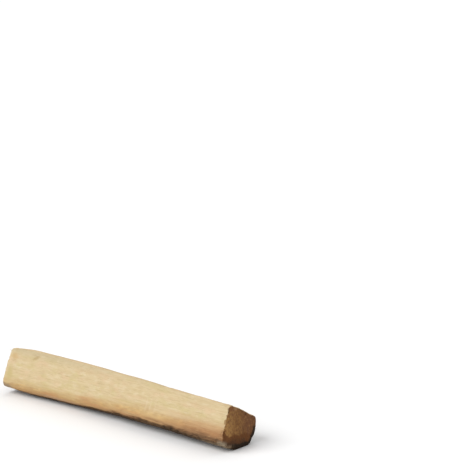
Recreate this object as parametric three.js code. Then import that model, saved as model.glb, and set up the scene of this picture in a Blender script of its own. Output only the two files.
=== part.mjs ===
// A palo santo stick: one piece of pale wood, split and sawn from a branch, for burning as incense.
// It is a single solid. Its section has one steep flat front, a sharp ridge above it, a top that falls away
// to the back, and a rounded outer side below, where the wood was nearest to the bark.
// The stick lies along X on the plane Z = 0, with the middle of its footprint at the origin.
// Millimetres, +Z up. The ridge runs along the front, which is the -Y side.

import * as THREE from "three";
import { ImprovedNoise } from "three/addons/math/ImprovedNoise.js";
import { mergeVertices } from "three/addons/utils/BufferGeometryUtils.js";

const { clamp, degToRad, lerp, mapLinear, radToDeg, smoothstep } = THREE.MathUtils;
const noise = new ImprovedNoise();

// Driving dimensions.
const stickLength = 100;
const coreHeight = 7.2; // the core line runs this far above the plane that the stick rests on
const bow = { up: 0.35, back: 0.4 }; // how far the middle of the stick is arched up and pushed back
const wornRim = { along: 0.4, inward: 0.035 }; // how far the rim of a sawn end is worn: mm, and share of the reach
const halfLength = stickLength / 2;

// How finely the solid is divided.
const stations = 44;
const sides = 64;
const endRings = 4;

// A smooth curve through pairs of [place along the stick, value], held level past the last pair.
function profile(...pairs) {
  return (along) => {
    const next = pairs.findIndex(([place]) => place > along);
    if (next === 0) return pairs[0][1];
    if (next < 0) return pairs[pairs.length - 1][1];
    const [from, to] = [pairs[next - 1], pairs[next]];
    return lerp(from[1], to[1], smoothstep(along, from[0], to[0]));
  };
}

// The long faces of the stick. Each is given by the direction it faces, in degrees from +Y towards +Z,
// and by its distance from the core line, which changes along the stick.
const faces = {
  front: { facing: 158.8, away: profile([-50, 6.35], [-10, 6.1], [50, 6.35]) },
  frontShoulder: { facing: 192, away: profile([-50, 8.25], [-30, 7.8], [0, 7.7], [50, 8.1]) },
  frontUnderside: { facing: 232, away: profile([-50, 9.6], [-42, 9], [-30, 8.2], [0, 7.7], [50, 8]) },
  lowFront: { facing: 252, away: profile([-50, 6.75], [-36, 7.7], [-8, 7.2], [16, 6.95], [36, 7.2], [50, 7.35]) },
  bottom: { facing: 270, away: profile([-50, 8.1], [0, 7.7], [50, 8.2]) },
  lowBack: { facing: 305, away: profile([-50, 8.4], [-20, 8.8], [50, 9.3]) },
  backUnderside: { facing: 329, away: profile([-50, 8.8], [10, 9.1], [50, 9.5]) },
  back: { facing: 352, away: profile([-50, 7.8], [-15, 8.3], [50, 8.55]) },
  top: { facing: 61.5, away: profile([-50, 5.9], [-38, 6.4], [-20, 6.25], [8, 5.8], [30, 5.35], [50, 5.15]) },
};

// How sharply two faces meet: crisp where the wood was split, soft on the outer side of the branch, except
// towards the left end, where that side keeps a corner too. The split side is the half turn from this angle on,
// and blend is the share of it over which corners grow crisp.
const meeting = { crisp: 44, soft: profile([-50, 42], [-41, 15]), start: 25, blend: 0.42 };

// Shallow relief that follows the grain: low swells, then narrow ripples, with their depth in mm,
// their length along the stick in mm, how many fit around it, and where in the noise they start.
const grain = [
  { deep: 0.24, long: 22, around: 1.7, start: 3.1 },
  { deep: 0.17, long: 13, around: 6.5, start: 9.7 },
];

// The saw left each end a little out of square and uneven: mm of lean for each mm up and each mm back.
const cuts = {
  right: { up: 0.012, back: 0, start: 5 },
  left: { up: 0.05, back: -0.01, start: -5 },
};
const sawMarks = { deep: 0.12, wide: 2.3, high: 3.1, reach: 3 };

// Places where wood is missing: each with its middle, its size along (mm) and around (degrees), and its depth.
const chips = [
  { along: -50.5, facing: 112, long: 4, wide: 26, deep: 0.6 }, // worn corner at the top of the left end
  { along: -39.5, facing: 131, long: 1.7, wide: 7, deep: 0.5 }, // nick below the ridge
  { along: 49.6, facing: 196, long: 1, wide: 9, deep: 0.6 }, // crumbs gone from the front rim of the right end
  { along: 49.8, facing: 213, long: 0.9, wide: 7, deep: 0.5 },
  { along: 49.7, facing: 158, long: 0.8, wide: 8, deep: 0.35 },
  { along: 49.5, facing: 22, long: 1.6, wide: 9, deep: 0.6 }, // and from its back rim
  { along: 49.6, facing: 318, long: 1.3, wide: 12, deep: 0.6 },
  { along: -49.6, facing: 8, long: 1.8, wide: 10, deep: 0.7 }, // and from the left end
  { along: -49.7, facing: 300, long: 1.5, wide: 14, deep: 0.5 },
  { along: -14, facing: 7, long: 5.5, wide: 8, deep: 0.55 }, // splinters gone from the back edge
  { along: 21, facing: 9, long: 3.5, wide: 6, deep: 0.4 },
  { along: 33, facing: 118, long: 3, wide: 6, deep: 0.3 }, // small loss along the ridge
];

// Degrees between two directions, at most 180.
const turnBetween = (a, b) => Math.abs(((a - b + 540) % 360) - 180);

// Distance from the core line to the long faces, which a power mean joins: its power sets how round a corner is.
function facedReach(along, angle) {
  const splitSide = Math.sin(degToRad(angle - meeting.start)) / meeting.blend;
  const power = lerp(meeting.soft(along), meeting.crisp, clamp(splitSide, 0, 1));
  const sum = Object.values(faces).reduce((total, { facing, away }) => {
    const toward = Math.cos(degToRad(angle - facing));
    return total + (toward > 0 ? (toward / away(along)) ** power : 0);
  }, 0);
  return sum ** (-1 / power);
}

function grainRelief(along, angle) {
  const y = Math.cos(degToRad(angle));
  const z = Math.sin(degToRad(angle));
  return grain.reduce((total, { deep, long, around, start }) =>
    total + deep * noise.noise(along / long + start, y * around, z * around), 0);
}

function missingWood(along, angle) {
  return chips.reduce((total, chip) => {
    const far = ((along - chip.along) / chip.long) ** 2 + (turnBetween(angle, chip.facing) / chip.wide) ** 2;
    return total + chip.deep * Math.max(0, 1 - far) ** 1.5;
  }, 0);
}

// How far a sawn face stands out of square at a place in the section.
function sawnOffset(end, y, z) {
  const { up, back, start } = end > 0 ? cuts.right : cuts.left;
  const mark = noise.noise(y / sawMarks.wide + start, z / sawMarks.high, 0.5);
  return up * (z - coreHeight) + back * y + sawMarks.deep * mark;
}

// A point of the surface. share is 1 on the long sides and falls to 0 at the middle of a sawn end.
function surfacePoint(along, angle, share) {
  const arch = 1 - (along / halfLength) ** 2;
  const reach = share * (facedReach(along, angle) + grainRelief(along, angle) - missingWood(along, angle));
  const y = bow.back * arch + reach * Math.cos(degToRad(angle));
  const z = coreHeight + bow.up * arch + reach * Math.sin(degToRad(angle));
  const nearEnd = smoothstep(Math.abs(along), halfLength - sawMarks.reach, halfLength);
  return new THREE.Vector3(along + nearEnd * sawnOffset(Math.sign(along), y, z), y, Math.max(0, z));
}

// A plain spindle to start from: a lathe profile out over one end, along the side and in over the other.
function spindle() {
  const end = [];
  for (let ring = 0; ring < endRings; ring++) end.push([ring / endRings, halfLength]);
  end.push([1 - wornRim.inward, halfLength]);
  const outline = end.map(([share, along]) => new THREE.Vector2(share, -along));
  const sideEnd = halfLength - wornRim.along;
  for (let i = 0; i <= stations; i++) {
    outline.push(new THREE.Vector2(1, mapLinear(i, 0, stations, -sideEnd, sideEnd)));
  }
  end.reverse().forEach(([share, along]) => outline.push(new THREE.Vector2(share, along)));
  return new THREE.LatheGeometry(outline, sides);
}

// Every point of the spindle is moved to its place on the stick.
function stickGeometry() {
  const geometry = spindle();
  const points = geometry.getAttribute("position");
  for (let i = 0; i < points.count; i++) {
    const share = Math.min(1, Math.hypot(points.getX(i), points.getZ(i)));
    const angle = (radToDeg(Math.atan2(points.getX(i), points.getZ(i))) + 360) % 360;
    const place = surfacePoint(points.getY(i), share < 1e-6 ? 0 : angle, share);
    points.setXYZ(i, place.x, place.y, place.z);
  }
  geometry.deleteAttribute("normal");
  geometry.deleteAttribute("uv");
  geometry.computeBoundingBox();
  const middle = geometry.boundingBox.getCenter(new THREE.Vector3());
  geometry.translate(-middle.x, -middle.y, 0);
  const closed = mergeVertices(geometry, 1e-4);
  closed.computeVertexNormals();
  return closed;
}

const paleWood = new THREE.MeshStandardMaterial({ color: 0xdfc99e, roughness: 0.82, metalness: 0 });

const paloSanto = new THREE.Group();
const stick = new THREE.Mesh(stickGeometry(), paleWood);
stick.name = "palo_santo_stick";
paloSanto.add(stick);

export default paloSanto;
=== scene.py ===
"""One palo santo stick on a pale floor: pale split wood, a brown outer side, sawn ends and torn fibres."""

import math

import bmesh
import bpy
from mathutils import Matrix, Vector


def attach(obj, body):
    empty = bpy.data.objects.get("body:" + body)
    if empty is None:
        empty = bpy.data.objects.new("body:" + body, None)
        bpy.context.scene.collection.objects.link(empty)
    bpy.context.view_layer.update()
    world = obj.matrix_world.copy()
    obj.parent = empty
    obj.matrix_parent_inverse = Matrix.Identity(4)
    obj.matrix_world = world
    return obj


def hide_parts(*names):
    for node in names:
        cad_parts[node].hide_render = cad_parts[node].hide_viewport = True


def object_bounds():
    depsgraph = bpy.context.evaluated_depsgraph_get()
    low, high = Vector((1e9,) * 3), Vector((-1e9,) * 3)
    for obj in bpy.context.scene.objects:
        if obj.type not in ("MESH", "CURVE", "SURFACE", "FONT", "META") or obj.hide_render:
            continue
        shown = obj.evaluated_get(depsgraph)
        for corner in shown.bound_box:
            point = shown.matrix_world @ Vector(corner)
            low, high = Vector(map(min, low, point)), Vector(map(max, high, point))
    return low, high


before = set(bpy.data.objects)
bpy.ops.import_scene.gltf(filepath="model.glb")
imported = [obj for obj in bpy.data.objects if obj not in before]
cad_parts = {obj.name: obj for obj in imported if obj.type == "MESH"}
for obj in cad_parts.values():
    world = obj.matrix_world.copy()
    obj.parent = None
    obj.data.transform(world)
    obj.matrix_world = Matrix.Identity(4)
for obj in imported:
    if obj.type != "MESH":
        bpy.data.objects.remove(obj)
solid_low, solid_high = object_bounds()
scene = bpy.context.scene

# The view. A long lens looks down at the stick from its front right, tilted by one degree, and sees the
# middle of the stick's footprint on the same pixel as in the photograph.
picture_px = 474
footprint_px = Vector((124.6, 416.3))
lens_mm, sensor_mm = 143.5, 36
camera_height = 0.19
camera_turn, camera_dip, camera_tilt = (math.radians(angle) for angle in (42.1, 12.68, 0.99))
nearest_seen, farthest_seen = 0.01, 20

level_right = Vector((math.cos(camera_turn), math.sin(camera_turn), 0))
ahead = Vector((-math.sin(camera_turn), math.cos(camera_turn), 0))
up = Vector((0, 0, 1))
sight = ahead * math.cos(camera_dip) - up * math.sin(camera_dip)
level_down = -ahead * math.sin(camera_dip) - up * math.cos(camera_dip)
picture_right = level_right * math.cos(camera_tilt) + level_down * math.sin(camera_tilt)
picture_down = level_down * math.cos(camera_tilt) - level_right * math.sin(camera_tilt)

from_centre = (footprint_px - Vector((picture_px, picture_px)) / 2) / picture_px * sensor_mm / lens_mm
to_footprint = sight + picture_right * from_centre.x + picture_down * from_centre.y
camera = bpy.data.objects.new("camera", bpy.data.cameras.new("camera"))
camera.data.lens, camera.data.sensor_width = lens_mm, sensor_mm
camera.data.clip_start, camera.data.clip_end = nearest_seen, farthest_seen
stand = Matrix.Translation(to_footprint * (camera_height / to_footprint.z))
turned = Matrix((picture_right, -picture_down, -sight)).transposed().to_4x4()
camera.matrix_world = stand @ turned
scene.collection.objects.link(camera)
scene.camera = camera

# The stick. One piece of dry palo santo: a branch was sawn to length, then split by hand along the grain.
# The front is smooth and cream, the top and back are split and ribbed, the outer side below keeps a thin
# brown skin of inner bark, and the sawn ends are rough and brown, because cut fibres drink in the light.
mm = 0.001
half_length = (solid_high.x - solid_low.x) / 2
core = Vector((0, -0.6, 7.2))  # in mm, on a line inside the solid that its skin is measured from
pith = Vector((0, 0.8, 12.7))  # in mm, the middle of the branch, just under the split top
nick = Vector((-36.4, -4.6, 13.9))  # in mm, the middle of a bruised nick below the ridge
nick_rise = 0.42  # how steeply the nick climbs towards the right
bark_side = math.radians(275)  # the direction that the outer side faces, from +Y towards +Z
split_side = math.radians(55)  # and the direction of the face that was split off by hand
across_strokes = Vector((0, 0.94, 0.34))  # the saw's strokes ran nearly upright
along_strokes = Vector((0, -0.34, 0.94))


class Socket:
    """An output in a tree of nodes. Arithmetic on it adds Math nodes to the tree."""

    def __init__(self, tree, link):
        self.tree, self.link = tree, link

    def beside(self, name):
        """Another output of the same node."""
        return Socket(self.tree, self.link.node.outputs[name])

    def __add__(self, other):
        return self.tree.maths("ADD", self, other)

    def __radd__(self, other):
        return self.tree.maths("ADD", other, self)

    def __sub__(self, other):
        return self.tree.maths("SUBTRACT", self, other)

    def __rsub__(self, other):
        return self.tree.maths("SUBTRACT", other, self)

    def __mul__(self, other):
        return self.tree.maths("MULTIPLY", self, other)

    def __rmul__(self, other):
        return self.tree.maths("MULTIPLY", other, self)

    def __truediv__(self, other):
        return self.tree.maths("DIVIDE", self, other)

    def __abs__(self):
        return self.tree.maths("ABSOLUTE", self)


class Tree:
    """A tree of nodes for a material or for geometry."""

    def __init__(self, nodes):
        self.nodes, self.links = nodes.nodes, nodes.links

    def node(self, kind, settings=None, inputs=None, output=0):
        """Adds a node of a kind, gives it its settings and its inputs, and returns one of its outputs."""
        node = self.nodes.new(kind)
        for name, value in (settings or {}).items():
            if name == "stops":
                stops = node.color_ramp.elements
                while len(stops) < len(value):
                    stops.new(1)
                for stop, (place, colour) in zip(stops, value):
                    stop.position, stop.color = place, (*colour, 1)
            else:
                setattr(node, name, value)
        for name, value in (inputs or {}).items():
            if isinstance(value, Socket):
                self.links.new(value.link, node.inputs[name])
            else:
                node.inputs[name].default_value = value
        return Socket(self, node.outputs[output]) if len(node.outputs) else node

    def maths(self, operation, *values):
        return self.node("ShaderNodeMath", {"operation": operation}, dict(enumerate(values)))

    def vector(self, operation, *values, output=0):
        return self.node("ShaderNodeVectorMath", {"operation": operation}, dict(enumerate(values)), output)

    def length(self, vector):
        return self.vector("LENGTH", vector, output="Value")

    def dot(self, first, second):
        return self.vector("DOT_PRODUCT", first, second, output="Value")

    def scaled(self, vector, size):
        return self.node("ShaderNodeVectorMath", {"operation": "SCALE"}, {0: vector, "Scale": size})

    def joined(self, x, y, z):
        return self.node("ShaderNodeCombineXYZ", {}, {0: x, 1: y, 2: z})

    def parted(self, vector):
        x = self.node("ShaderNodeSeparateXYZ", {}, {0: vector})
        return x, x.beside("Y"), x.beside("Z")

    def slope(self, value, begins, full):
        """0 where it begins, 1 where it is full, smooth between them and level beyond."""
        return self.node("ShaderNodeMapRange", {"interpolation_type": "SMOOTHSTEP"},
                         {"Value": value, "From Min": begins, "From Max": full})

    def between(self, first, second, share):
        """A number that goes from the first to the second as the share goes from 0 to 1."""
        return first + (second - first) * share

    def facing(self, direction, angle):
        """1 where a direction points along an angle of the section, from +Y towards +Z, and -1 where it
        points the other way."""
        return self.dot(direction, (0, math.cos(angle), math.sin(angle)))

    def noise(self, place, detail=2.0, start=0.0):
        """Smooth noise about 0, mostly within a third either way, with features one unit across. Each start
        gives another pattern."""
        north, over = start * 1.7, start * 0.6
        moved = self.vector("ADD", place, (start, north, over))
        return self.node("ShaderNodeTexNoise", {}, {"Vector": moved, "Scale": 1.0, "Detail": detail}) - 0.5

    def clouds(self, place, per_mm, detail=2.0, start=0.0):
        """Noise with so many features to each millimetre, in every direction."""
        return self.noise(self.scaled(place, per_mm), detail, start)

    def drawn_out(self, place, long, wide):
        """The place, counted in features that are so long along the stick and so wide across it."""
        return self.vector("MULTIPLY", place, (1 / long, 1 / wide, 1 / wide))

    def grain(self, place, long, wide, detail=2.0, start=0.0):
        """Noise drawn out along the stick: long and wide are the size of its features."""
        return self.noise(self.drawn_out(place, long, wide), detail, start)

    def from_crack(self, place, long, wide, waver, detail):
        """How far it is to the nearest crack between the bark's wavering plates, as a share of a plate."""
        sideways = self.noise(place, detail, start=6.0) * waver
        wavering = self.vector("ADD", place, self.joined(0.0, sideways, 0.0))
        plates = self.drawn_out(wavering, long, wide)
        return self.node("ShaderNodeTexVoronoi", {"feature": "DISTANCE_TO_EDGE"}, {
            "Vector": plates, "Scale": 1.0})


class Growth(Tree):
    """A Geometry Nodes tree, with named inputs and one output of geometry."""

    def __init__(self, name, sizes):
        self.group = bpy.data.node_groups.new(name, "GeometryNodeTree")
        super().__init__(self.group)
        interface = self.group.interface
        interface.new_socket("Solid", in_out="INPUT", socket_type="NodeSocketGeometry")
        interface.new_socket("Wood", in_out="INPUT", socket_type="NodeSocketMaterial")
        for size, value in sizes.items():
            kind = "NodeSocketInt" if isinstance(value, int) else "NodeSocketFloat"
            interface.new_socket(size, in_out="INPUT", socket_type=kind).default_value = value
        interface.new_socket("Made", in_out="OUTPUT", socket_type="NodeSocketGeometry")
        self.given = self.node("NodeGroupInput")
        self.position = self.node("GeometryNodeInputPosition")
        self.normal = self.node("GeometryNodeInputNormal")

    def size(self, name):
        """The input of a name."""
        return self.given.beside(name)

    def kept(self, geometry, name, value):
        """The geometry, with a value for each point kept under a name."""
        return self.node("GeometryNodeStoreNamedAttribute", {"data_type": "FLOAT", "domain": "POINT"},
                         {"Geometry": geometry, "Name": name, "Value": value})

    def read(self, name):
        """The value that is kept under a name."""
        return self.node("GeometryNodeInputNamedAttribute", {"data_type": "FLOAT"}, {"Name": name})

    def blurred(self, value, times):
        return self.node("GeometryNodeBlurAttribute", {"data_type": "FLOAT_VECTOR"},
                         {"Value": value, "Iterations": times})

    def moved(self, geometry, **way):
        return self.node("GeometryNodeSetPosition", {}, {"Geometry": geometry, **way})

    def smooth_on_floor(self, geometry):
        """The geometry, shaded smooth, with what would be under the floor laid on it."""
        x, y, z = self.parted(self.position)
        geometry = self.moved(geometry, Position=self.joined(x, y, self.maths("MAXIMUM", z, 0.0)))
        return self.node("GeometryNodeSetShadeSmooth", {}, {"Geometry": geometry})

    def finished(self, geometry):
        geometry = self.node("GeometryNodeRealizeInstances", {}, {"Geometry": geometry})
        geometry = self.node("GeometryNodeSetMaterial", {}, {
            "Geometry": geometry, "Material": self.size("Wood")})
        self.node("NodeGroupOutput", {}, {"Made": geometry})
        return self.group


def drawn_skin(tree):
    """A plain cylinder drawn over the solid: each of its points goes out from inside until it meets the
    surface. It also keeps how near each point is to a rim, and how far inside the outline of a sawn end."""
    cylinder = tree.node("GeometryNodeMeshCylinder", {"fill_type": "TRIANGLE_FAN"}, {
        "Vertices": tree.size("Around"), "Side Segments": tree.size("Stations"),
        "Fill Segments": tree.size("End rings"), "Radius": 1.0, "Depth": 2.0})
    back, high, along = tree.parted(tree.position)
    outward = tree.vector("NORMALIZE", tree.joined(0.0, back, high))
    share = tree.length(tree.joined(0.0, back, high))

    # The cylinder's rows lie closer together towards its two rims.
    crowding, section_radius, rim_width = 0.33, 8 * mm, 1.8 * mm
    x = along * (1 + crowding - along * along * crowding) * half_length
    spread = share * (1 + crowding - share * share * crowding)
    from_rim = half_length - abs(x) + (1 - spread) * section_radius
    cylinder = tree.kept(cylinder, "rim", tree.slope(from_rim, begins=rim_width, full=0.0))

    solid = tree.node("GeometryNodeSubdivisionSurface", {}, {
        "Mesh": tree.size("Solid"), "Level": tree.size("Smoothing")})
    last_source = half_length - 2 * mm
    source_x = tree.maths("MINIMUM", tree.maths("MAXIMUM", x, -last_source), last_source)
    source = tree.joined(source_x, core.y * mm, core.z * mm)

    def met(direction, output):
        return tree.node("GeometryNodeRaycast", {}, {
            "Target Geometry": solid, "Source Position": source, "Ray Direction": direction,
            "Ray Length": 1.0}, output)

    reach = met(outward, "Hit Distance")
    cylinder = tree.kept(cylinder, "inset", reach * (1 - spread) / mm)
    aside = tree.scaled(outward, reach * spread)
    aim = tree.vector("ADD", aside, tree.joined(x - source_x, 0.0, 0.0))
    skin = tree.moved(cylinder, Position=met(aim, "Hit Position"))
    return tree.moved(skin, Position=tree.blurred(tree.position, times=1))


def told_apart(tree, skin, place):
    """The skin, which keeps what each point belongs to: a sawn end, an edge, a split face, or the outer side
    with its ragged bark."""
    skin = tree.kept(skin, "cut", tree.slope(abs(tree.parted(tree.normal)[0]), begins=0.4, full=0.75))
    turning = 1 - tree.length(tree.blurred(tree.normal, times=14))
    skin = tree.kept(skin, "edge", tree.slope(turning, begins=0.02, full=0.12))
    skin = tree.kept(skin, "split", tree.slope(tree.facing(tree.normal, split_side), begins=0.1, full=0.6))

    # The bark reaches further up the sides towards the right end.
    lower_left, higher_right = -0.23, 0.13
    x, y, z = tree.parted(tree.position)
    climb = tree.between(lower_left, higher_right, tree.slope(x, begins=-22 * mm, full=24 * mm))
    from_core = tree.vector("NORMALIZE", tree.joined(0.0, y - core.y * mm, z - core.z * mm))
    wander = tree.grain(place, long=14, wide=3, start=4.0) * 0.2
    skin = tree.kept(skin, "outer", tree.facing(from_core, bark_side) + wander + climb)
    streaks = tree.grain(place, long=12, wide=0.4, detail=1.0, start=14.0) * 0.32
    patches = tree.grain(place, long=5, wide=1.0, start=44.0) * 0.2
    return tree.kept(skin, "ragged", tree.read("outer") + streaks + patches)


def side_relief(tree, place, bark):
    """How far the long sides stand over the solid: ribs, ledges and a nick in split wood, and crumbs and
    cracks in bark."""
    rougher = tree.read("split") * tree.size("Extra on split faces") + 1
    ribs = tree.grain(place, long=45, wide=1.3, start=7.0) * tree.size("Rib depth")
    fine_ribs = tree.grain(place, long=22, wide=0.5, detail=1.0, start=2.0) * tree.size("Fine rib depth")
    fine_ribs = fine_ribs * rougher

    # A ledge is left where a split jumps from one layer of fibres to the next.
    layer_steps = 9
    layers = tree.grain(place, long=110, wide=5, detail=0.0, start=11.0) * layer_steps
    layers = layers + tree.grain(place, long=22, wide=1.2, detail=1.0, start=13.0)
    into_layer = tree.maths("FRACT", layers)
    jumps = tree.slope(into_layer, begins=0.42, full=0.58) - into_layer
    ledges = jumps * tree.size("Ledge depth") * rougher

    nick_size = Vector((2, 3, 0.7))
    east, north, over = tree.parted(tree.vector("SUBTRACT", place, nick))
    from_nick = tree.vector("DIVIDE", tree.joined(east, north, over - east * nick_rise), nick_size)
    dent = tree.slope(tree.length(from_nick), begins=1.0, full=0.5) * tree.size("Nick depth")

    crumbs = tree.grain(place, long=2.2, wide=1.1, detail=4.0, start=5.0) * tree.size("Bark crumb depth")
    cracks = tree.read("crack") * tree.size("Crack depth")
    split_wood = ribs + fine_ribs + ledges - dent
    bark_skin = ribs + fine_ribs * 0.5 + tree.size("Bark depth") + crumbs - cracks
    return tree.between(split_wood, bark_skin, bark)


def end_relief(tree, place):
    """How far the sawn ends stand over the solid: the marks of the saw, on a rough ground."""
    waver = tree.noise(place, detail=0.0) * 0.6
    stroke = (tree.dot(place, across_strokes) + waver) * math.tau / tree.size("Saw mark pitch")
    saw_marks = tree.maths("SINE", stroke) * tree.size("Saw mark depth")
    return saw_marks + tree.clouds(place, per_mm=0.8, detail=4.0, start=8.0) * tree.size("Cut roughness")


def skin_growth():
    """Draws a fine skin over the solid, then carves ribs, ledges, bark, saw marks and chipped rims into it.
    Depths are in millimetres."""
    tree = Growth("stick_skin", {
        "Around": 288, "Stations": 210, "End rings": 28, "Smoothing": 2,
        "Rib depth": 0.2, "Fine rib depth": 0.07, "Ledge depth": 0.06, "Extra on split faces": 2.2,
        "Bark depth": 0.14, "Bark crumb depth": 0.25, "Crack depth": 0.22, "Nick depth": 0.1,
        "Saw mark depth": 0.035, "Saw mark pitch": 0.85, "Cut roughness": 0.2, "Chip depth": 0.5,
    })
    place = tree.scaled(tree.position, 1 / mm)
    skin = told_apart(tree, drawn_skin(tree), place)
    bark = tree.slope(tree.read("ragged"), begins=0.4, full=0.48)
    from_crack = tree.from_crack(place, long=3.6, wide=1.6, waver=1.5, detail=1.0)
    skin = tree.kept(skin, "crack", tree.slope(from_crack, begins=0.1, full=0.02) * bark)
    chips = tree.slope(tree.clouds(place, per_mm=0.7, start=21.0), begins=0.08, full=0.2) * tree.read("rim")
    relief = tree.between(side_relief(tree, place, bark), end_relief(tree, place), tree.read("cut"))
    skin = tree.kept(skin, "relief", relief - chips * tree.size("Chip depth"))
    skin = tree.moved(skin, Offset=tree.scaled(tree.normal, tree.read("relief") * mm))
    return tree.finished(tree.smooth_on_floor(skin))


def grown(name, mesh, group, **given):
    """A plain object made by a Geometry Nodes tree from a mesh, with the tree's named inputs as given."""
    seed = bpy.data.objects.new(name + "_start", mesh)
    scene.collection.objects.link(seed)
    modifier = seed.modifiers.new("grow", "NODES")
    modifier.node_group = group
    for socket in group.interface.items_tree:
        if socket.in_out == "INPUT" and socket.name in given:
            modifier[socket.identifier] = given[socket.name]
    evaluated = seed.evaluated_get(bpy.context.evaluated_depsgraph_get())
    piece = bpy.data.objects.new(name, bpy.data.meshes.new_from_object(evaluated))
    bpy.data.objects.remove(seed)
    scene.collection.objects.link(piece)
    return piece


def joined_solid(node):
    """The solid's loose triangles as one closed mesh, with quads where two triangles make one."""
    same_point, flat_enough, square_enough = 0.001 * mm, 0.6, 0.9
    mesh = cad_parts[node].data.copy()
    work = bmesh.new()
    work.from_mesh(mesh)
    bmesh.ops.remove_doubles(work, verts=work.verts, dist=same_point)
    bmesh.ops.join_triangles(
        work, faces=work.faces, angle_face_threshold=flat_enough, angle_shape_threshold=square_enough)
    work.to_mesh(mesh)
    work.free()
    return mesh


class Finish(Tree):
    """A material's tree, with the place on the stick in millimetres."""

    def __init__(self, name):
        self.material = bpy.data.materials.new(name)
        self.material.use_nodes = True
        self.material.node_tree.nodes.clear()
        super().__init__(self.material.node_tree)
        self.place = self.scaled(self.node("ShaderNodeTexCoord", {}, {}, "Object"), 1 / mm)

    def read(self, name):
        """The value that the mesh keeps under a name."""
        return self.node("ShaderNodeAttribute", {"attribute_name": name}, {}, "Fac")

    def ramped(self, value, stops):
        return self.node("ShaderNodeValToRGB", {"stops": stops}, {"Fac": value}, "Color")

    def mixed(self, share, first, second, way="MIX"):
        """The first colour, with a share of the second mixed in."""
        share_in, first_in, second_in, colour_out = 0, 6, 7, 2
        first, second = ((*c, 1) if isinstance(c, tuple) else c for c in (first, second))
        settings = {"data_type": "RGBA", "blend_type": way}
        inputs = {share_in: share, first_in: first, second_in: second}
        return self.node("ShaderNodeMix", settings, inputs, colour_out)

    def laid(self, colour, tint, where, begins, full, most=1.0, way="MIX"):
        """The colour with a tint laid on it, by a value: none where it begins, the most where it is full."""
        return self.mixed(self.slope(where, begins, full) * most, colour, tint, way)

    def finished(self, colour, roughness, height, bump_strength):
        dry_sheen = 0.1
        bump = self.node("ShaderNodeBump", {}, {
            "Strength": bump_strength, "Distance": mm, "Height": height})
        surface = self.node("ShaderNodeBsdfPrincipled", {}, {
            "Base Color": colour, "Roughness": roughness, "Normal": bump, "Specular IOR Level": dry_sheen})
        self.node("ShaderNodeOutputMaterial", {}, {"Surface": surface})
        return self.material


def year_rings(tree):
    """0 to 1 across each year's ring. The rings lie about the pith and run along the stick, wavering."""
    rings_per_mm, waver = 1.4, 1.6
    y, z = tree.parted(tree.place)[1:]
    from_pith = tree.length(tree.joined(0.0, y - pith.y, z - pith.z))
    from_pith = from_pith + tree.grain(tree.place, long=40, wide=4, start=3.0) * waver
    across_rings = tree.joined(from_pith * rings_per_mm, 0.0, 0.0)
    return tree.slope(tree.noise(across_rings, detail=1.0, start=5.3), begins=-0.12, full=0.16)


def vessels(tree, long, wide):
    """1 in the fine tubes of the wood, which are dots where it is cut across and dashes along the grain."""
    unevenness = {"Vector": tree.place, "Scale": 0.6 / wide}
    uneven = tree.scaled(tree.node("ShaderNodeTexNoise", {}, unevenness, "Color"), wide)
    cells = tree.drawn_out(tree.vector("ADD", tree.place, uneven), long, wide)
    from_tube = tree.node("ShaderNodeTexVoronoi", {}, {"Vector": cells, "Scale": 1.0}, "Distance")

    # About half of the cells hold a tube, some of them wider or darker than others.
    chance, breadth, depth = tree.parted(from_tube.beside("Color"))
    tube = tree.slope(from_tube / (breadth * 0.8 + 0.5), begins=0.36, full=0.24)
    return tube * tree.slope(chance, begins=0.4, full=0.5) * (depth * 0.9 + 0.4)


def saw_scratches(tree):
    """Noise drawn out along the strokes of the saw."""
    across_per_mm, along_per_mm, inward_per_mm = 4.5, 0.35, 0.3
    across = tree.dot(tree.place, across_strokes) * across_per_mm
    along = tree.dot(tree.place, along_strokes) * along_per_mm
    inward = tree.parted(tree.place)[0] * inward_per_mm
    return tree.noise(tree.joined(across, along, inward), detail=3.0, start=23.0)


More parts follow.
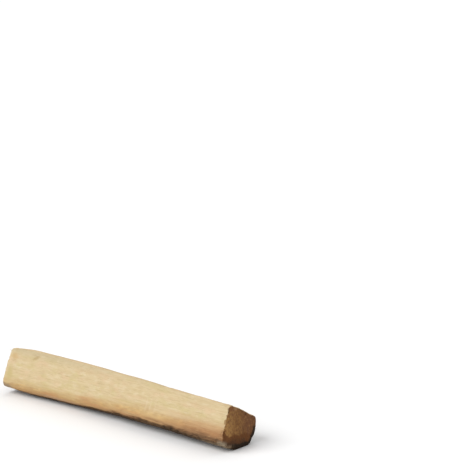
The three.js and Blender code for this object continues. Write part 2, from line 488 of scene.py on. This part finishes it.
def face_colour(tree, rings):
    """Split faces: cream, clouded softly with straw, a warm flesh tone and paler spots, with rings, fine tan
    streaks, hair lines, open vessels and pale flecks, painted grey shade along the ridge and painted shade
    in the hollows of the relief."""
    cream, straw, flesh = (0.588, 0.47, 0.28), (0.545, 0.45, 0.232), (0.615, 0.455, 0.285)
    pale, ridge_shade_grey, fleck = (0.635, 0.53, 0.345), (0.50, 0.415, 0.26), (0.66, 0.56, 0.38)
    warm, tan, dark_pore = (0.64, 0.46, 0.275), (0.46, 0.325, 0.17), (0.33, 0.22, 0.11)
    place, mixed, laid, split = tree.place, tree.mixed, tree.laid, tree.read("split")
    straw_clouds = tree.grain(place, long=7, wide=3.4, start=1.0)
    colour = laid(cream, straw, straw_clouds, begins=-0.06, full=0.18, most=0.75)
    flesh_clouds = tree.grain(place, long=5, wide=2.4, start=9.0)
    colour = laid(colour, flesh, flesh_clouds, begins=-0.02, full=0.2, most=0.7)
    mottle = tree.grain(place, long=3, wide=1.3, start=33.0)
    colour = laid(colour, pale, mottle, begins=0.02, full=0.2, most=0.65)
    colour = laid(colour, tan, mottle, begins=-0.04, full=-0.24, most=0.22)

    # Painted shade: the faces turn greyer towards the ridge, more so at the left and less on the split top.
    x, _, z = tree.parted(place)
    more_at_left = 0.3 + tree.slope(x, begins=30, full=-50) * 0.6
    most_ridge_shade = (1 - split * 0.75) * more_at_left
    colour = laid(colour, ridge_shade_grey, z, begins=12.6, full=15.8, most=most_ridge_shade)
    colour = mixed(split * 0.4, colour, warm)

    colour = mixed(rings * 0.09, colour, tan)
    streaks = tree.grain(place, long=24, wide=0.45, detail=3.0, start=6.0)
    colour = laid(colour, tan, streaks, begins=0.04, full=0.2, most=split * 0.28 + 0.13)
    hair_lines = tree.grain(place, long=22, wide=0.16, start=8.0)
    colour = laid(colour, tan, hair_lines, begins=0.04, full=0.14, most=0.12)
    colour = laid(colour, pale, hair_lines, begins=-0.04, full=-0.14, most=0.14)
    colour = mixed(vessels(tree, long=4.5, wide=0.17) * 0.4, colour, dark_pore)
    flecks = tree.grain(place, long=1.5, wide=0.22, detail=1.0, start=17.0)
    colour = laid(colour, fleck, flecks, begins=0.16, full=0.26, most=0.4)
    # Painted shade: darker where the relief sinks below the solid, in the hollows of ribs, ledges and the
    # nick.
    return laid(colour, tan, tree.read("relief"), begins=0.02, full=-0.12, most=0.22)


def outer_colour(tree, colour):
    """The outer side, over the colour of the faces: straw and orange where the last of the pale wood thins
    out, then the inner bark, brown to nearly black, in ragged streaks, darkest where the side turns under to
    the floor: the bark's own brown there with painted shade. Towards the right end the wood itself is
    stained, and darkens slowly through red brown instead."""
    straw, ochre, orange = (0.51, 0.37, 0.188), (0.49, 0.33, 0.152), (0.46, 0.28, 0.125)
    rust, umber, dark_umber_and_shade = (0.425, 0.255, 0.122), (0.185, 0.10, 0.046), (0.085, 0.05, 0.023)
    bark, crack_shade, ash_bark = (0.055, 0.033, 0.017), (0.016, 0.01, 0.007), (0.15, 0.103, 0.063)
    stained, stained_red, stained_deep = (0.47, 0.295, 0.152), (0.33, 0.175, 0.082), (0.21, 0.112, 0.055)
    stained_dark = (0.115, 0.068, 0.036)
    lighter, worn = (1.25, 1.25, 1.2), (1.9, 1.8, 1.7)
    # The ramps follow how far the side faces down; their darkest stops, dark umber and bark, are partly
    # painted shade of the underside.
    skin = [(0.0, straw), (0.1, ochre), (0.25, orange), (0.36, rust), (0.43, umber), (0.48, dark_umber_and_shade),
            (0.8, bark)]
    stain = [(0.0, stained), (0.23, stained_red), (0.39, stained_deep), (0.53, stained_dark), (0.85, bark)]
    place, laid = tree.place, tree.laid
    ragged = tree.read("ragged") + tree.grain(place, long=4, wide=0.12, start=45.0) * 0.14
    colour = laid(colour, tree.ramped(ragged, skin), ragged, begins=-0.32, full=0.02)
    at_right = tree.slope(tree.parted(place)[0], begins=22, full=42)
    colour = laid(colour, tree.ramped(ragged, stain), ragged, begins=-0.52, full=0.15, most=at_right)

    # Rusty and paler blotches where the pale wood is thin.
    blotches = tree.grain(place, long=2.6, wide=0.9, detail=3.0, start=57.0)
    thinned = tree.slope(ragged, begins=-0.25, full=0.1) * tree.slope(ragged, begins=0.42, full=0.32)
    colour = laid(colour, rust, blotches, begins=0.02, full=0.14, most=thinned * 0.5)
    colour = laid(colour, lighter, blotches, begins=-0.02, full=-0.14, most=thinned * 0.45, way="MULTIPLY")

    # The bark is flaked, ashy underneath, cracked into plates and scales with painted shade in the cracks,
    # and worn.
    barked = tree.slope(ragged, begins=0.42, full=0.52)
    flakes = tree.grain(place, long=2.5, wide=0.7, detail=4.0, start=53.0)
    colour = laid(colour, umber, flakes, begins=0.03, full=0.12, most=barked * 0.3)
    ashes = tree.grain(place, long=4, wide=1.2, detail=4.0, start=25.0)
    underneath = tree.slope(tree.read("outer"), begins=0.5, full=0.7)
    colour = laid(colour, ash_bark, ashes, begins=0.04, full=0.14, most=underneath * barked * 0.6)
    # Painted shade in the cracks of the bark, the carved ones and finer ones.
    colour = tree.mixed(tree.read("crack") * 0.6, colour, crack_shade)
    from_crack = tree.from_crack(place, long=1.9, wide=0.6, waver=1.2, detail=2.0)
    colour = laid(colour, crack_shade, from_crack, begins=0.11, full=0.03, most=barked * 0.5)
    wear = tree.grain(place, long=0.9, wide=0.3, detail=3.0, start=37.0)
    return laid(colour, worn, wear, begins=0.02, full=0.18, most=barked * 0.25, way="MULTIPLY")


def cut_colour(tree, rings):
    """The sawn ends: olive brown at the front, umber in the middle and red brown at the back. Below them is
    a band of darker outer wood, and nearly black painted shade along the lower rim towards the back."""
    olive, umber, red_brown = (0.43, 0.23, 0.075), (0.25, 0.118, 0.039), (0.185, 0.08, 0.036)
    outer_wood, deep_wood_and_groove_shade, pore_and_shade_black = (0.155, 0.06, 0.02), (0.088, 0.04, 0.019), (0.024, 0.017, 0.011)
    scratch_crest_light, lighter = (0.42, 0.27, 0.14), (1.5, 1.5, 1.5)
    place, mixed, laid = tree.place, tree.mixed, tree.laid
    inset, outer = tree.read("inset"), tree.read("outer")
    y = tree.parted(place)[1]
    cloud = tree.clouds(place, per_mm=0.45, detail=3.0, start=2.0)
    spots = tree.clouds(place, per_mm=1.1, detail=3.0, start=41.0)
    drift = cloud * 7
    colour = laid(olive, umber, y + drift, begins=-6.0, full=-1.0)
    colour = laid(colour, red_brown, y - drift, begins=-0.5, full=4.5)
    colour = laid(colour, red_brown, spots, begins=0.02, full=0.2, most=0.75)
    colour = laid(colour, olive, spots, begins=-0.02, full=-0.2, most=0.45)
    colour = mixed(rings * 0.2, colour, outer_wood)
    scratches = saw_scratches(tree)
    # Painted light on the crests of the saw scratches and painted shade in their grooves, which the bump
    # follows.
    colour = laid(colour, scratch_crest_light, scratches, begins=0.02, full=0.18, most=0.16)
    colour = laid(colour, deep_wood_and_groove_shade, scratches, begins=-0.02, full=-0.18, most=0.5)

    # The band is this many millimetres wide. It narrows towards the back, and its border is uneven.
    widest, narrower = 4.6, 2
    at_back = tree.slope(y, begins=1.5, full=4.5)
    band = tree.slope(outer, begins=-0.1, full=1.0) * widest - at_back * narrower
    crumbled = tree.clouds(place, per_mm=2.6, detail=4.0, start=71.0)
    band = band * (1 + cloud) + spots * 0.8 + scratches * 1.6 + crumbled * 0.9
    colour = laid(colour, outer_wood, band - inset, begins=-0.3, full=0.35, most=0.95)
    colour = laid(colour, deep_wood_and_groove_shade, band - inset, begins=1.0, full=3.4, most=0.9)
    # Painted shade: the lower rim of the end, towards the back, is darkened to nearly black.
    lower_rim_shade = tree.slope(outer, begins=0.25, full=0.55) * tree.slope(y, begins=-6.2, full=-2.0) * 0.95
    colour = laid(colour, pore_and_shade_black, inset + spots * 1.4, begins=1.4, full=0.75, most=lower_rim_shade)
    colour = mixed(vessels(tree, long=2.2, wide=0.2) * 0.35, colour, pore_and_shade_black)
    torn = tree.clouds(place, per_mm=4.5, detail=4.0, start=51.0)
    colour = laid(colour, deep_wood_and_groove_shade, torn, begins=-0.02, full=-0.16, most=0.4)
    return laid(colour, lighter, torn, begins=0.04, full=0.2, most=0.12, way="MULTIPLY")


def marked(tree, colour, spots):
    """The colour, with ragged spots. Each is given by its middle and its size along, across and up, in mm,
    its tint and its strength, how steeply it rises along the stick, and the share of it that fades out."""
    border, raggedness = 1.1, 0.8
    ragged = tree.grain(tree.place, long=1.6, wide=0.8, start=31.0) * raggedness
    for middle, size, tint, strength, rise, soft in spots:
        east, north, over = tree.parted(tree.vector("SUBTRACT", tree.place, middle))
        off = tree.vector("DIVIDE", tree.joined(east, north, over - east * rise), size)
        away = tree.length(off) + ragged
        colour = tree.laid(colour, tint, away, begins=border, full=border - soft, most=strength)
    return colour


ash_and_shade = (0.25, 0.185, 0.12)  # ashy bark at the lower corners of the right end, and painted shade at the lower front corner of the left end


def marked_sides(tree, colour):
    """Spots on the long sides: at the left a bruised nick, an amber spot and a straw stain, rusty and straw
    patches above the bark, three pale scratches right of the middle, ashy bark at the lower corners of the
    right end, and painted shade at the lower front corner of the left end."""
    bruise, orange, straw = (0.41, 0.295, 0.145), (0.50, 0.30, 0.135), (0.49, 0.39, 0.175)
    amber, red_brown, rusty = (0.51, 0.34, 0.16), (0.40, 0.205, 0.09), (0.47, 0.245, 0.115)
    pale, honey, umber = (0.66, 0.55, 0.37), (0.56, 0.395, 0.195), (0.16, 0.09, 0.04)
    dusty_pink = (0.46, 0.31, 0.205)
    return marked(tree, colour, [
        (nick, (1.9, 3, 0.75), bruise, 0.65, nick_rise, 0.8),
        # Painted shade at the lower front corner of the left end.
        ((-48.9, -8.0, 2.7), (4.4, 4, 1.6), ash_and_shade, 0.8, 0, 0.5),
        ((-46.6, -4.8, 13.0), (2.4, 4, 1.6), amber, 0.7, 0, 1),
        ((-47.2, -7.0, 7.2), (1.9, 3, 4.2), straw, 0.75, 0, 1),
        ((-26, -7.3, 4.3), (5, 3, 1.0), orange, 0.45, 0.02, 0.8),
        ((-28, -7.2, 3.6), (6, 3, 0.7), rusty, 0.6, 0, 0.9),
        ((-27, -7.2, 5.6), (7, 3, 0.8), straw, 0.35, 0, 0.9),
        ((-24, -6.6, 2.6), (12, 3, 0.9), dusty_pink, 0.5, 0, 0.9),
        ((-6, -7.1, 6.1), (7, 3, 1.1), orange, 0.3, 0, 0.8),
        ((-8, -7.2, 4.2), (8, 3, 0.7), rusty, 0.5, 0, 0.9),
        ((5.5, -7.2, 8.2), (4, 3, 0.7), straw, 0.4, 0, 0.9),
        ((-10.7, -7.4, 5.5), (5, 3, 1.2), rusty, 0.45, 0, 0.9),
        ((1.5, -7.3, 5.1), (3.5, 3, 0.8), honey, 0.5, 0, 0.9),
        ((9, -7.4, 4.8), (5, 3, 0.9), honey, 0.4, 0, 0.9),
        ((20, -7.4, 6.2), (7, 3, 1.1), honey, 0.45, 0.02, 0.9),
        ((8.5, -7.3, 4.0), (6.5, 3, 0.9), rusty, 0.4, 0, 0.9),
        ((20.5, -7.6, 5.1), (6, 3, 0.7), umber, 0.35, 0, 0.9),
        ((19, -7.3, 3.0), (7, 3, 1.0), umber, 0.4, 0, 0.9),
        ((33, -7.7, 4.2), (7, 3, 0.9), rusty, 0.2, 0, 0.9),
        ((45.5, -7.7, 5.9), (4.5, 3, 0.9), red_brown, 0.35, 0, 0.8),
        ((26, -7.2, 8.0), (14, 3, 1.2), pale, 0.3, 0.02, 0.9),
        ((16.4, -6.3, 9.0), (0.5, 3, 3.6), pale, 0.25, 0, 1),
        ((18.2, -6.3, 8.6), (0.45, 3, 3.2), pale, 0.25, 0, 1),
        ((20.3, -6.3, 9.4), (0.5, 3, 3.4), pale, 0.2, 0, 1),
        ((44.5, -6.5, 1.9), (7, 4, 1.0), ash_and_shade, 0.65, 0, 0.5),
        ((50, -6.0, 2.6), (1.5, 1.8, 1.6), ash_and_shade, 0.8, 0, 0.9),
    ])


def marked_rim(tree, colour):
    """Ashy and bruised spots on the rim of the right end, and a painted shadow near the top corner of its
    face.
    """
    pale_ash, olive_bruise = (0.33, 0.265, 0.185), (0.28, 0.155, 0.058)
    top_corner_shadow, warm_bruise = (0.19, 0.08, 0.034), (0.35, 0.19, 0.10)
    return marked(tree, colour, [
        ((49.2, -7.3, 2.9), (2.6, 2.2, 1.6), pale_ash, 0.8, 0, 1),
        ((50.0, -5.0, 1.6), (1.6, 2.6, 1.0), ash_and_shade, 0.6, 0, 1),
        ((49.8, -6.3, 9.9), (0.5, 1.2, 0.8), olive_bruise, 0.8, 0, 0.3),
        # Painted shadow near the top corner of the end, below the ridge.
        ((50.3, -3.9, 13.6), (1, 1.2, 0.9), top_corner_shadow, 0.8, 0, 0.6),
        ((50.3, -1.7, 13.1), (1, 1.2, 0.6), warm_bruise, 0.7, 0, 0.8),
    ])


def palo_santo_wood():
    """Colour and fine surface of the wood, worked out from the place on the stick."""
    tree = Finish("palo_santo_wood")
    place, cut = tree.place, tree.read("cut")
    rings = year_rings(tree)
    colour = outer_colour(tree, face_colour(tree, rings))

    # Fibres as thin as a hair, with painted shade in their furrows and painted light on their backs.
    furrow_shade, fibre_back_light = (0.88, 0.85, 0.8), (1.08, 1.09, 1.12)
    fibres = tree.grain(place, long=4, wide=0.09, detail=3.0, start=18.0)
    colour = tree.laid(colour, furrow_shade, fibres, begins=-0.04, full=-0.2, way="MULTIPLY")
    colour = tree.laid(colour, fibre_back_light, fibres, begins=0.04, full=0.2, way="MULTIPLY")
    colour = marked_sides(tree, colour)

    # The brown of a sawn end also runs a little way over its rim, in ragged bites.
    bites = tree.read("rim") + tree.clouds(place, per_mm=0.55, start=61.0) * 1.7
    sawn = tree.maths("MAXIMUM", cut, tree.slope(bites, begins=1.0, full=1.15) * 0.8)
    colour = tree.mixed(sawn, colour, cut_colour(tree, rings))
    colour = marked_rim(tree, colour)

    open_cut = tree.clouds(place, per_mm=5.0, detail=3.0, start=19.0) * 1.2 + saw_scratches(tree)
    height = tree.between(fibres, open_cut, cut) * 0.1
    roughness = 0.78 + tree.clouds(place, per_mm=0.6, start=40.0) * 0.2
    return tree.finished(colour, roughness, height, bump_strength=0.5)


stick = grown("palo_santo_wood", joined_solid("palo_santo_stick"), skin_growth(), Wood=palo_santo_wood())
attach(stick, "root")
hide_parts("palo_santo_stick")

# Torn fibres. Where the wood was split and sawn, slivers as thin as a hair still stand along the edges.
# Each is rooted in the wood, lies with the grain and lifts a little towards its tip.


def one_sliver(tree):
    """A sliver, a unit long: a thin blade that swells from its root, tapers and curls up at its tip."""
    tip_thickness, curl_up, curl_aside = 0.05, 3.0, 1.2
    sliver = tree.node("GeometryNodeMeshCone", {"fill_type": "TRIANGLE_FAN"}, {
        "Vertices": tree.size("Sides"), "Side Segments": tree.size("Joints"), "Radius Top": 1.0,
        "Radius Bottom": 1.0, "Depth": 1.0})
    thick, flat, up_blade = tree.parted(tree.position)
    bent = up_blade * up_blade
    swell = tree.slope(up_blade, begins=-0.15, full=0.3) * (1 + tip_thickness - bent)
    return tree.moved(sliver, Position=tree.joined(
        thick * swell + bent * curl_up, flat * swell + bent * curl_aside, up_blade))


def sliver_growth():
    """Scatters slivers over the stick's edges, more of them at the rims, where they point out over the end.
    Lengths and widths are in millimetres."""
    tree = Growth("torn_fibres", {
        "Slivers on each square cm": 26.0, "Shortest": 0.6, "Longest": 3.4, "Past the rim": 0.15,
        "Narrowest": 0.03, "Widest": 0.085, "Thickness of a width": 0.45, "Lift": 0.045, "Sunk": 0.03,
        "Sides": 5, "Joints": 7, "Seed": 7,
    })
    x, _, z = tree.parted(tree.position)
    rim, cut, edge, outer = (tree.read(name) for name in ("rim", "cut", "edge", "outer"))
    at_rims, square_cm = 0.25, 0.01 ** 2
    where = edge * tree.slope(outer, begins=0.3, full=0.1) + rim * at_rims
    where = where * tree.slope(z, begins=0.6 * mm, full=2.5 * mm) * tree.slope(cut, begins=0.5, full=0.2)
    roots = tree.node("GeometryNodeDistributePointsOnFaces", {"distribute_method": "RANDOM"}, {
        "Mesh": tree.size("Solid"), "Density": tree.size("Slivers on each square cm") / square_cm * where,
        "Seed": tree.size("Seed")})
    lie = roots.beside("Normal")
    roots = tree.moved(roots, Offset=tree.scaled(lie, tree.size("Sunk") * -mm))

    def chance(low, high, draw):
        low_in, high_in, number_out = 2, 3, 1
        return tree.node("FunctionNodeRandomValue", {"data_type": "FLOAT"}, {
            low_in: low, high_in: high, "Seed": tree.size("Seed") + draw}, number_out)

    # Along the grain one way or the other, outward near a rim, and a little aslant.
    aslant_at_most = 0.07
    side = tree.maths("SIGN", chance(-1.0, 1.0, 1) + tree.maths("SIGN", x) * rim * 2)
    lifted = tree.scaled(tree.vector("MULTIPLY", lie, (0, 1, 1)), tree.size("Lift"))
    aslant = tree.vector("CROSS_PRODUCT", lie, (1, 0, 0))
    way = tree.vector("ADD", tree.joined(side, 0.0, 0.0), lifted)
    way = tree.vector("ADD", way, tree.scaled(aslant, chance(-aslant_at_most, aslant_at_most, 2)))
    turn = tree.node("FunctionNodeAxesToRotation", {"primary_axis": "Z", "secondary_axis": "X"}, {
        "Primary Axis": way, "Secondary Axis": lie})

    # Shorter near a rim, so that none stands far out over the end.
    long = chance(tree.size("Shortest"), tree.size("Longest"), 3) * (1 - rim * 0.85)
    long = tree.maths("MINIMUM", long, (half_length - abs(x)) / mm + tree.size("Past the rim"))
    wide = chance(tree.size("Narrowest"), tree.size("Widest"), 4)
    scale = tree.scaled(tree.joined(wide * tree.size("Thickness of a width"), wide, long), mm)
    roots = tree.kept(roots, "tone", chance(0.0, 1.0, 5))
    slivers = tree.node("GeometryNodeInstanceOnPoints", {}, {
        "Points": roots, "Instance": one_sliver(tree), "Rotation": turn, "Scale": scale})

    # The copies are made real before they are laid on the floor, point by point.
    slivers = tree.node("GeometryNodeRealizeInstances", {}, {"Geometry": slivers})
    return tree.finished(tree.smooth_on_floor(slivers))


def fibre_finish():
    """Torn wood is paler than the face that it stands on, and browner near the outer side and the cut."""
    tree = Finish("torn_fibre")
    pale_fibre, straw_fibre, brown_fibre = (0.68, 0.56, 0.36), (0.55, 0.42, 0.23), (0.34, 0.20, 0.09)
    colour = tree.mixed(tree.read("tone"), pale_fibre, straw_fibre)
    colour = tree.laid(colour, brown_fibre, tree.read("outer"), begins=-0.1, full=0.35)
    colour = tree.mixed(tree.read("cut") * 0.8, colour, brown_fibre)
    strands = tree.grain(tree.place, long=1.2, wide=0.05, start=3.0)
    colour = tree.laid(colour, brown_fibre, strands, begins=0.0, full=0.25, most=0.4)
    return tree.finished(colour, 0.7 + strands * 0.3, strands * 0.03, bump_strength=0.4)


fibres = grown("torn_fibres", stick.data, sliver_growth(), Wood=fibre_finish())
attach(fibres, "root")

# The floor and the light. A wide white table under an even sky. One large soft lamp at the front left makes
# the long front face bright and leaves the sawn end at the right in its own shade, and a weak one behind
# lights the top and the back.
floor_size, floor_gap = 8, 0.02 * mm
table_white, table_roughness = (0.93, 0.93, 0.93, 1), 0.9
half_floor = floor_size / 2
floor_mesh = bpy.data.meshes.new("floor")
corners = [(x * half_floor, y * half_floor, -floor_gap) for x, y in [(-1, -1), (1, -1), (1, 1), (-1, 1)]]
floor_mesh.from_pydata(corners, [], [(0, 1, 2, 3)])
floor = bpy.data.objects.new("floor", floor_mesh)
scene.collection.objects.link(floor)
floor_paint = bpy.data.materials.new("floor_paint")
floor_paint.use_nodes = True
matt_white = floor_paint.node_tree.nodes["Principled BSDF"].inputs
matt_white["Base Color"].default_value = table_white
matt_white["Roughness"].default_value = table_roughness
floor_mesh.materials.append(floor_paint)

sky_white, sky_strength = (1, 1, 1, 1), 0.55
sky = bpy.data.worlds.new("sky")
sky.use_nodes = True
sky.node_tree.nodes["Background"].inputs["Color"].default_value = sky_white
sky.node_tree.nodes["Background"].inputs["Strength"].default_value = sky_strength
scene.world = sky

# Each lamp has the way to it, its strength, and how wide it is as seen from the stick, in degrees.
lamps = {
    "key": ((-0.30, -0.70, 0.65), 2.14, 50),
    "back": ((-0.1, 0.6, 0.79), 0.6, 60),
}
for name, (way, strength, width) in lamps.items():
    lamp = bpy.data.objects.new(name, bpy.data.lights.new(name, "SUN"))
    lamp.data.energy, lamp.data.angle = strength, math.radians(width)
    lamp.matrix_world = Vector(way).to_track_quat("Z", "Y").to_matrix().to_4x4()
    scene.collection.objects.link(lamp)
scene.view_settings.view_transform = "Standard"
